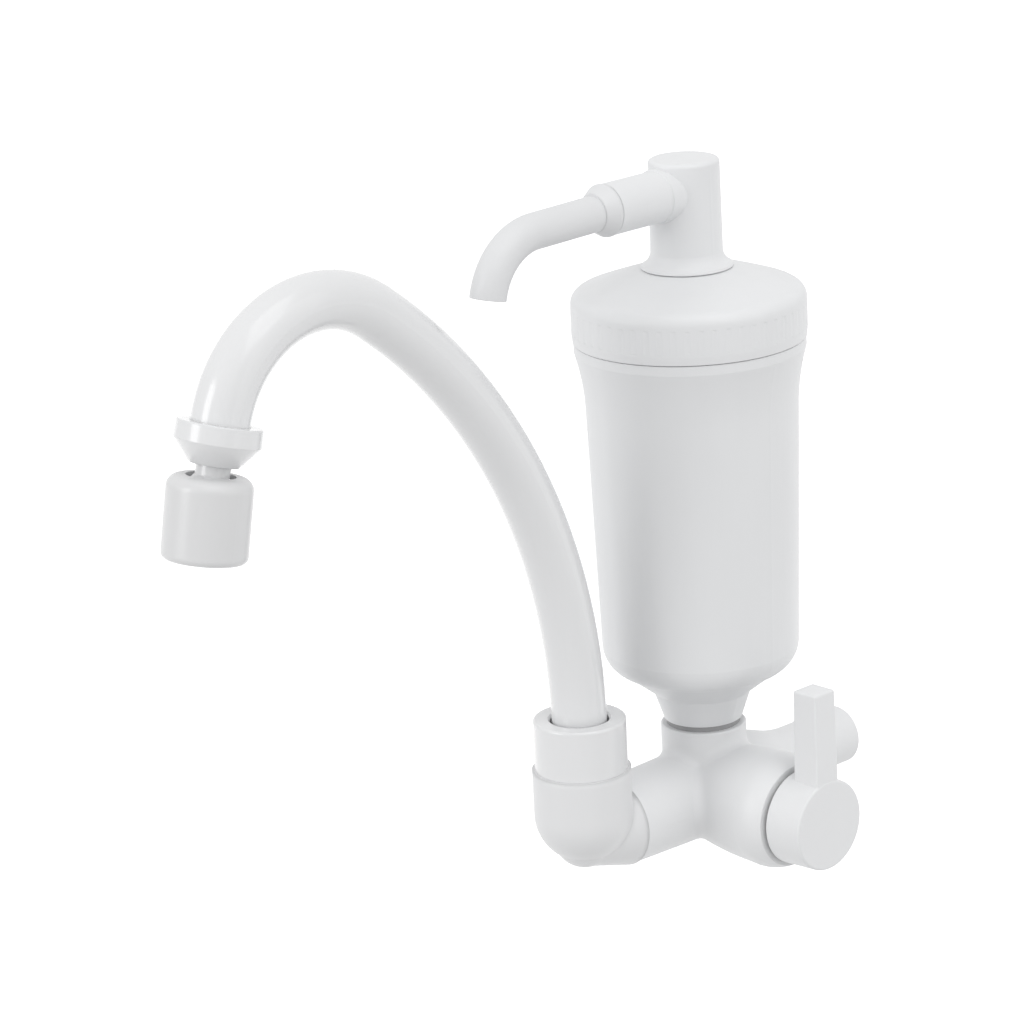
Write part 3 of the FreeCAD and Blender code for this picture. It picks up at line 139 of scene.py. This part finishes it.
# %% A finish and its one way of adding nodes
class Finish:
    """The network of nodes of a material or of the world."""

    def __init__(self, owner):
        self.owner = owner
        owner.use_nodes = True
        self.tree = owner.node_tree
        self.tree.nodes.clear()

    def node(self, kind, settings=None, inputs=None, output=0):
        """A new node: its settings first, then a value or a link for each socket."""
        made = self.tree.nodes.new(kind)
        for name, value in (settings or {}).items():
            setattr(made, name, value)
        for key, value in (inputs or {}).items():
            socket = self.find(made.inputs, key)
            if isinstance(value, Tone):
                self.tree.links.new(value.socket, socket)
            else:
                socket.default_value = value
        return Tone(self, self.find(made.outputs, output)) if made.outputs else made

    def find(self, sockets, key):
        """The socket at a place or with a name, among those that the settings leave in use."""
        live = [s for s in sockets if s.enabled]
        if isinstance(key, int):
            return live[key]
        return next(s for s in live if s.name == key)

    def place(self, centre=(0.0, 0.0, 0.0), turn=(0.0, 0.0, 0.0), scale=(1.0, 1.0, 1.0)):
        """A point of the piece, measured from a centre, turned and stretched."""
        point = self.node("ShaderNodeTexCoord", output="Object")
        return self.node("ShaderNodeMapping", {"vector_type": "TEXTURE"},
                         {"Vector": point, "Location": centre, "Rotation": turn, "Scale": scale})

    def noise(self, point, scale, detail=2.0, rough=0.5):
        """A cloudy number round a half, that changes from point to point."""
        return self.node("ShaderNodeTexNoise", {},
                         {"Vector": point, "Scale": scale, "Detail": detail, "Roughness": rough})

    def blend(self, share, first, second):
        """A colour between two, by a share."""
        return self.node("ShaderNodeMix", {"data_type": "RGBA"},
                         {"Factor": share, "A": (*first, 1.0), "B": (*second, 1.0)})

    def finish(self, surface):
        """Close a material's network with its surface and hand over the material."""
        self.node("ShaderNodeOutputMaterial", {}, {"Surface": surface})
        return self.owner


print("finishes can be written now, on materials and on the world")

# %% [markdown]
# ## Moulded white plastic
# The tap is moulded in white ABS. Up close the surface has a soft orange peel from the mould, faint
# lines where the plastic flowed in, and slight clouds in its gloss, and its edges are never sharp.
# The edges could be bevelled in the mesh, but the solids stay as CAD made them. So the Bevel node
# rounds them in the shading, and a bump on top of it gives the peel and the flow lines.

# %% One recipe for every moulded piece
EDGE_SOFTNESS = 0.45 * MM
CLOUD_SCALE = 22.0          # patches of a few centimetres
PEEL_SCALE = 900.0          # orange peel of about a millimetre
FLOW_SCALE = 90.0
FLOW_STRETCH = 9.0          # how much longer a flow line is than it is wide
PEEL_DEPTH = 0.02 * MM
COLOUR_DRIFT = 0.035        # how much darker the plastic gets from place to place
STREAK_DRIFT = 0.03
CLOUD_SHARE = 0.6           # how much of that drift comes in clouds, and how much in flow lines
FLOW_SHARE = 0.4
CLOUD_GLOSS = 0.10          # how far each pattern moves the roughness
PEEL_GLOSS = 0.08
FLOW_GLOSS = 0.06
FLOW_HEIGHT = 2.0           # how high a flow line stands, in peel depths
STREAK_HEIGHT = 30.0
PLASTIC_IOR = 1.49
COAT_ROUGHNESS = 0.14


def shaded(light, dark_share):
    """The same colour, darker by a share."""
    return tuple(c * (1.0 - dark_share) for c in light)


def moulded_plastic(name, colour, roughness, streaks=0.0, shine=0.42, coat=0.0,
                    softness=EDGE_SOFTNESS):
    """White plastic, with its gloss, its flow lines and how round its edges look."""
    paint = Finish(bpy.data.materials.new(name))
    point = paint.place(CROSS)
    clouds = paint.noise(point, CLOUD_SCALE, 3.0)
    peel = paint.noise(point, PEEL_SCALE, 2.0)
    drawn = paint.place(CROSS, scale=(1.0, 1.0, FLOW_STRETCH))
    flow = paint.noise(drawn, FLOW_SCALE, 3.0, 0.55)
    share = clouds * CLOUD_SHARE + flow * (FLOW_SHARE + streaks)
    tint = paint.blend(share, colour, shaded(colour, COLOUR_DRIFT + streaks * STREAK_DRIFT))
    gloss = (roughness + (clouds - 0.5) * CLOUD_GLOSS + (peel - 0.5) * PEEL_GLOSS
             + (flow - 0.5) * FLOW_GLOSS)
    soft_edge = paint.node("ShaderNodeBevel", {"samples": 8}, {"Radius": softness})
    height = peel + flow * (FLOW_HEIGHT + STREAK_HEIGHT * streaks)
    dented = paint.node("ShaderNodeBump", {},
                        {"Strength": 0.5, "Distance": PEEL_DEPTH, "Height": height,
                         "Normal": soft_edge})
    surface = paint.node("ShaderNodeBsdfPrincipled", {},
                         {"Base Color": tint, "Roughness": gloss, "Normal": dented,
                          "IOR": PLASTIC_IOR, "Specular IOR Level": shine,
                          "Coat Weight": coat, "Coat Roughness": COAT_ROUGHNESS})
    return paint.finish(surface)


print("peel", PEEL_DEPTH / MM, "mm deep, edges rounded by", EDGE_SOFTNESS / MM, "mm")

# %% [markdown]
# ## Seven whites
# The tap isn't one white. The body and the lever are satin. The swan neck and its nuts
# are glossy and draw bright bands. The small spout is a little greyer, and the aerator's shell is
# greyer still: its grey is painted shade, for the shade its downward-facing shell is in. The filter
# case has flow lines. The elbow is one smooth bend on the real tap while its solid has a crease, so
# its edges are rounded by more. One white for all would be shorter, but each keeps its own colour
# here, so that one can be changed without the others.

# %% The white plastics
BODY_WHITE = (0.800, 0.806, 0.815)
SPOUT_WHITE = (0.750, 0.754, 0.762)
# The aerator shell's darker white is painted shade, for the shade its downward-facing shell is in.
HEAD_PAINTED_SHADE_WHITE = (0.680, 0.682, 0.688)
ELBOW_WHITE = (0.765, 0.769, 0.777)
SMALL_WHITE = (0.725, 0.730, 0.740)
CASE_WHITE = (0.785, 0.792, 0.802)
LEVER_WHITE = (0.800, 0.806, 0.815)
ELBOW_SOFTNESS = 4.0 * MM

body_plastic = moulded_plastic("white_body_plastic", BODY_WHITE, 0.42)
spout_plastic = moulded_plastic("white_spout_plastic", SPOUT_WHITE, 0.21, shine=0.62, coat=0.4)
# This finish carries the painted shade of the aerator's shell.
head_plastic_painted_shade = moulded_plastic("white_aerator_plastic", HEAD_PAINTED_SHADE_WHITE, 0.34, shine=0.5, coat=0.25)
elbow_plastic = moulded_plastic("white_elbow_plastic", ELBOW_WHITE, 0.38,
                                softness=ELBOW_SOFTNESS)
small_plastic = moulded_plastic("white_small_spout_plastic", SMALL_WHITE, 0.42)
case_plastic = moulded_plastic("white_filter_case", CASE_WHITE, 0.40, streaks=0.35)
lever_plastic = moulded_plastic("white_lever_plastic", LEVER_WHITE, 0.42)
whites = (body_plastic, spout_plastic, head_plastic_painted_shade, elbow_plastic, small_plastic, case_plastic,
          lever_plastic)
print(len(whites), "whites:", ", ".join(white.name for white in whites))

# %% [markdown]
# ## A recipe for grained materials
# Inner plastics, rubber, ceramic and carbon differ in colour and gloss, and in how coarse their
# grain is. They could each have a network, but one that takes the grain as a number is shorter.

# %% One recipe for every grained piece
COARSE_SHARE = 0.12         # the coarse pattern's scale as a share of the fine one's
GRAIN_DETAIL = 4.0
COARSE_GLOSS = 0.08
FINE_GLOSS = 0.14


def grained(name, colour, other, roughness, grain, depth, coat=0.0):
    """A material with a grain of its own size and depth, in two nearby colours."""
    paint = Finish(bpy.data.materials.new(name))
    point = paint.place(CROSS)
    coarse = paint.noise(point, grain * COARSE_SHARE, GRAIN_DETAIL)
    fine = paint.noise(point, grain, GRAIN_DETAIL)
    tint = paint.blend(coarse * 0.5 + fine * 0.5, colour, other)
    gloss = roughness + (fine - 0.5) * FINE_GLOSS + (coarse - 0.5) * COARSE_GLOSS
    dented = paint.node("ShaderNodeBump", {},
                        {"Strength": 0.6, "Distance": depth, "Height": fine})
    surface = paint.node("ShaderNodeBsdfPrincipled", {},
                         {"Base Color": tint, "Roughness": gloss, "Coat Weight": coat,
                          "Normal": dented})
    return paint.finish(surface)


print("roughness of a grained piece moves by", FINE_GLOSS / 2, "and", COARSE_GLOSS / 2)

# %% [markdown]
# ## A recipe for turned metal
# A lathe leaves fine rings round the axis of a metal piece. They could be cut into the mesh, but at
# this size they only show in the gloss. So a Wave texture draws them, and a slow noise keeps the
# metal from looking new all over.

# %% One recipe for every turned piece
DULL_SCALE = 60.0
DULL_SHADE = 0.22           # how much darker the metal is where it has gone dull
DULL_GLOSS = 0.12
RING_GLOSS = 0.10
RING_DEPTH = 0.03 * MM


def turned(name, colour, roughness, centre, turn, rings):
    """A metal with the fine rings that a lathe leaves round an axis."""
    paint = Finish(bpy.data.materials.new(name))
    point = paint.place(centre, turn)
    ring = paint.node("ShaderNodeTexWave",
                      {"wave_type": "RINGS", "rings_direction": "Z", "wave_profile": "SIN"},
                      {"Vector": point, "Scale": rings, "Distortion": 0.4, "Detail": 2.0},
                      output="Fac")
    dull = paint.noise(point, DULL_SCALE, 4.0)
    tint = paint.blend(dull, colour, shaded(colour, DULL_SHADE))
    gloss = roughness + (ring - 0.5) * RING_GLOSS + (dull - 0.5) * DULL_GLOSS
    dented = paint.node("ShaderNodeBump", {},
                        {"Strength": 0.4, "Distance": RING_DEPTH, "Height": ring})
    surface = paint.node("ShaderNodeBsdfPrincipled", {},
                         {"Base Color": tint, "Roughness": gloss, "Metallic": 1.0,
                          "Normal": dented})
    return paint.finish(surface)


print("rings", RING_DEPTH / MM, "mm deep")

# %% [markdown]
# ## Hidden plastics, rubber, ceramic and metals
# Most of these show only when the tap is open or from behind. Each still gets the marks of how it
# is made: turned brass has fine rings, ground ceramic a very fine grain, pressed carbon its grains.
# The neck's seal is a real ring in a lighter grey rubber, and its grey also stands for painted
# shade: the thin grey line under the canister where the neck sits in the collar.

# %% Duller plastics, seals, discs and metals
ALONG_X = (0.0, math.pi / 2, 0.0)
MOULD_GRAIN = 0.03 * MM
GROUND_GRAIN = 0.01 * MM
PRESSED_GRAIN = 0.35 * MM
cartridge_plastic = grained("grey_acetal", (0.60, 0.60, 0.59), (0.52, 0.52, 0.51), 0.48, 700.0,
                            MOULD_GRAIN)
ring_plastic = grained("ring_acetal", (0.55, 0.55, 0.54), (0.47, 0.47, 0.46), 0.45, 700.0,
                       MOULD_GRAIN)
inner_plastic = grained("milky_polypropylene", (0.62, 0.65, 0.68), (0.55, 0.58, 0.61), 0.38,
                        500.0, MOULD_GRAIN)
carbon = grained("pressed_carbon", (0.035, 0.035, 0.036), (0.012, 0.012, 0.012), 0.82, 1100.0,
                 PRESSED_GRAIN)
rubber = grained("seal_rubber", (0.028, 0.028, 0.028), (0.015, 0.015, 0.015), 0.55, 900.0,
                 MOULD_GRAIN)
# The neck seal's grey is a rubber grey that also stands for painted shade in the gap at the neck.
neck_seal_and_painted_shade = grained("grey_neck_seal", (0.36, 0.36, 0.365), (0.31, 0.31, 0.315), 0.50, 900.0,
                      MOULD_GRAIN)
ceramic = grained("ground_ceramic", (0.80, 0.77, 0.70), (0.72, 0.69, 0.62), 0.30, 1500.0,
                  GROUND_GRAIN, coat=0.2)
brass = turned("turned_brass", (0.72, 0.50, 0.22), 0.28, CROSS, ALONG_X, 900.0)
steel = turned("bright_steel", (0.60, 0.60, 0.61), 0.24, CROSS, ALONG_X, 900.0)
hidden = (cartridge_plastic, ring_plastic, inner_plastic, carbon, rubber, neck_seal_and_painted_shade, ceramic,
          brass, steel)
print(len(hidden), "more finishes:", ", ".join(finish.name for finish in hidden))

# %% [markdown]
# ## Dressing the solids
# The record names a material slot for each solid. The solids that share a slot share a finish, and
# the finish goes into their own material slots, so that the meshes stay as CAD made them.

# %% Dress every solid
FINISHES = {
    "white_plastic": body_plastic, "spout_plastic": spout_plastic, "lever_plastic": lever_plastic,
    "filter_case": case_plastic, "cartridge_plastic": cartridge_plastic,
    "ring_plastic": ring_plastic, "inner_plastic": inner_plastic, "carbon": carbon,
    "seal_rubber": rubber, "disc_ceramic": ceramic, "brass": brass, "steel": steel,
}
OWN_FINISHES = {"aerator_shell": head_plastic_painted_shade, "filter_spout": small_plastic,
                "spout_elbow": elbow_plastic, "neck_oring": neck_seal_and_painted_shade}
dressed = {}
for name, solid in nodes.items():
    for slot in solid.material_slots:
        kind = slot.material.name.split(".")[0]
        slot.material = OWN_FINISHES.get(name, FINISHES[kind])
        dressed.setdefault(kind, []).append(name)
for kind, names in sorted(dressed.items()):
    print(kind, "on", ", ".join(names))

# %% [markdown]
# ## How a thread is wound
# A solid model leaves screw threads out. A thread is one small section that is turned round the
# axis and moved along it at the same time, which spin does with its dvec. A Screw modifier would do
# it too, but then the ends stay blunt. Here they fade out, as a moulded thread's do.


# %% One thread
FULL_TURN = 2 * math.pi
FADE_TURN = 0.25            # the share of a turn over which a thread's end runs out
STEPS_PER_TURN = 72
UPWARDS = Vector((0.0, 0.0, 1.0))
TO_WALL = Vector((0.0, 1.0, 0.0))
THREAD_OUTLINE = ((0.0, -0.5), (1.0, -0.2), (1.0, 0.2), (0.0, 0.5))   # share of depth and width


def thread(name, root_r, crest_r, width, pitch, turns, start, axis, kind):
    """A ridge that winds along an axis from a start point, on a shaft or in a bore."""
    shape = bmesh.new()
    corners = [shape.verts.new((root_r + depth * (crest_r - root_r), 0.0, share * width))
               for depth, share in THREAD_OUTLINE]
    section = shape.faces.new(corners)
    count = round(STEPS_PER_TURN * turns)
    bmesh.ops.spin(shape, geom=[section, *section.edges, *section.verts], cent=(0.0, 0.0, 0.0),
                   axis=(0.0, 0.0, 1.0), dvec=(0.0, 0.0, pitch / STEPS_PER_TURN),
                   angle=FULL_TURN * count / STEPS_PER_TURN, steps=count)
    length = pitch * count / STEPS_PER_TURN
    for vertex in shape.verts:
        from_end = min(vertex.co.z + width, length + width - vertex.co.z)
        fade = min(1.0, from_end / (width + pitch * FADE_TURN))
        radius = math.hypot(vertex.co.x, vertex.co.y)
        wanted = root_r + (radius - root_r) * fade
        vertex.co.x *= wanted / radius
        vertex.co.y *= wanted / radius
    bmesh.ops.recalc_face_normals(shape, faces=shape.faces)
    turn = UPWARDS.rotation_difference(axis).to_matrix().to_4x4()
    shape.transform(Matrix.Translation(start) @ turn)
    mesh = bpy.data.meshes.new(name)
    shape.to_mesh(mesh)
    shape.free()
    mesh.materials.append(FINISHES[kind])
    piece = bpy.data.objects.new(name, mesh)
    bpy.context.scene.collection.objects.link(piece)
    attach(piece, "tap_body")
    low, high = [[round(pick(v.co[i] for v in mesh.vertices) / MM, 1) for i in range(3)]
                 for pick in (min, max)]
    print(name, "faces", len(mesh.polygons), "from", low, "to", high, "mm")


print("a thread has", STEPS_PER_TURN, "steps to a turn")

# %% [markdown]
# ## The threads
# The cup's rim has a coarse thread that the lid screws on, and it shows once the lid is lifted. The
# inlet's bore has a fine pipe thread that shows from behind. Its crest is nearer the axis than its
# root, because it is cut into a bore.

# %% The threads
RIM_THREAD_HEIGHT = 181.2 * MM      # above the cross
INLET_THREAD_DEPTH = 11.2 * MM      # from the wall face
thread("canister_thread", root_r=40.1 * MM, crest_r=41.05 * MM, width=2.6 * MM, pitch=4.8 * MM,
       turns=1.75, start=CROSS + UPWARDS * RIM_THREAD_HEIGHT, axis=UPWARDS, kind="filter_case")
thread("inlet_thread", root_r=8.38 * MM, crest_r=7.6 * MM, width=1.2 * MM, pitch=1.337 * MM,
       turns=7.5, start=TO_WALL * -INLET_THREAD_DEPTH, axis=TO_WALL, kind="white_plastic")

# %% [markdown]
# ## The floor and the background
# The photographed tap hangs on a wall above nothing but white. A floor well below it catches its
# soft shadow, and the camera sees floor and sky as white. A brighter lamp could whiten them too,
# but it would also bleach the tap, and this adds no light to it.

# %% The floor and the white background
FLOOR_DROP = 0.17
FLOOR_SIZE = 14.0
FLOOR_TONES = ((0.62, 0.62, 0.62), (0.60, 0.60, 0.60))
FLOOR_GLOW = 0.75           # with the light that falls on it, the floor comes out white
WHITE = (1.0, 1.0, 1.0, 1.0)
floor_height = cad_box[0][2] - FLOOR_DROP


def seen_as_white(paint):
    """1 for what the camera sees, straight or in gloss or glass, and 0 for what lights the tap."""
    rays = [paint.node("ShaderNodeLightPath", output=ray)
            for ray in ("Is Camera Ray", "Is Glossy Ray", "Is Transmission Ray")]
    return paint.node("ShaderNodeMath", {"operation": "ADD", "use_clamp": True},
                      {0: rays[0] + rays[1], 1: rays[2]})


floor_shape = bmesh.new()
bmesh.ops.create_grid(floor_shape, x_segments=4, y_segments=4, size=FLOOR_SIZE / 2)
bmesh.ops.translate(floor_shape, verts=floor_shape.verts, vec=(0.0, 0.0, floor_height))
floor_mesh = bpy.data.meshes.new("floor")
floor_shape.to_mesh(floor_mesh)
floor_shape.free()
floor = bpy.data.objects.new("floor", floor_mesh)
bpy.context.scene.collection.objects.link(floor)
floor_paint = Finish(bpy.data.materials.new("pale_floor"))
grain = floor_paint.noise(floor_paint.place(), 40.0, 3.0)
pale = floor_paint.blend(grain, *FLOOR_TONES)
matt = floor_paint.node("ShaderNodeBsdfDiffuse", {}, {"Color": pale})
glow = floor_paint.node("ShaderNodeEmission", {},
                        {"Color": WHITE, "Strength": seen_as_white(floor_paint) * FLOOR_GLOW})
both = floor_paint.node("ShaderNodeAddShader", {}, {0: matt, 1: glow})
floor_mesh.materials.append(floor_paint.finish(both))
print("floor at", round(floor_height, 3), "m")

# %% [markdown]
# ## The sky
# The room's light comes evenly from all round. It could be an empty world with lamps alone, but
# then the undersides go dark. The camera sees a plain white instead of the light's own grey.

# %% The sky
SKY_LIGHT = 0.80
world = bpy.data.worlds.new("soft_room")
bpy.context.scene.world = world
sky = Finish(world)
strength = seen_as_white(sky) * (1.0 - SKY_LIGHT) + SKY_LIGHT
light = sky.node("ShaderNodeBackground", {}, {"Color": WHITE, "Strength": strength})
sky.node("ShaderNodeOutputWorld", {}, {"Surface": light})
print("sky light", SKY_LIGHT)

# %% [markdown]
# ## The lamps
# Three large soft boxes hang round the camera: the strongest high up on the right, a smaller one on
# the left that draws the bright bands on the tube and the aerator, and a large weak one on the
# right that keeps the far side of each round form from going grey. One lamp would do, but then a
# round white form fades into the white behind it on one side.

# %% The soft boxes
LAMPS = {
    # place to the right of the tap, above it and towards the camera, then width and watts
    "high_lamp": ((1.0, 2.6, 1.5), 2.2, 24.0),
    "left_lamp": ((-2.6, 0.5, 1.5), 1.3, 23.0),
    "right_lamp": ((2.6, 0.6, 1.6), 2.4, 14.0),
}
LAMP_HEIGHT_SHARE = 1.4     # a lamp's height as a share of its width
aim = Vector((0.0, -0.15, 0.12))        # about the middle of the tap
for name, ((sideways, height, nearer), size, watts) in LAMPS.items():
    bulb = bpy.data.lights.new(name, "AREA")
    bulb.shape = "RECTANGLE"
    bulb.size = size
    bulb.size_y = size * LAMP_HEIGHT_SHARE
    bulb.energy = watts
    lamp = bpy.data.objects.new(name, bulb)
    lamp.location = aim + level * sideways + Vector((0, 0, height)) + back * nearer
    lamp.rotation_euler = (lamp.location - aim).to_track_quat("Z", "Y").to_euler()
    bpy.context.scene.collection.objects.link(lamp)
    print(name, [round(c, 2) for c in lamp.location], watts, "W")

# %% [markdown]
# ## The end
# The picture keeps its colours as rendered, by the Standard view.

# %% The end
bpy.context.scene.view_settings.view_transform = "Standard"
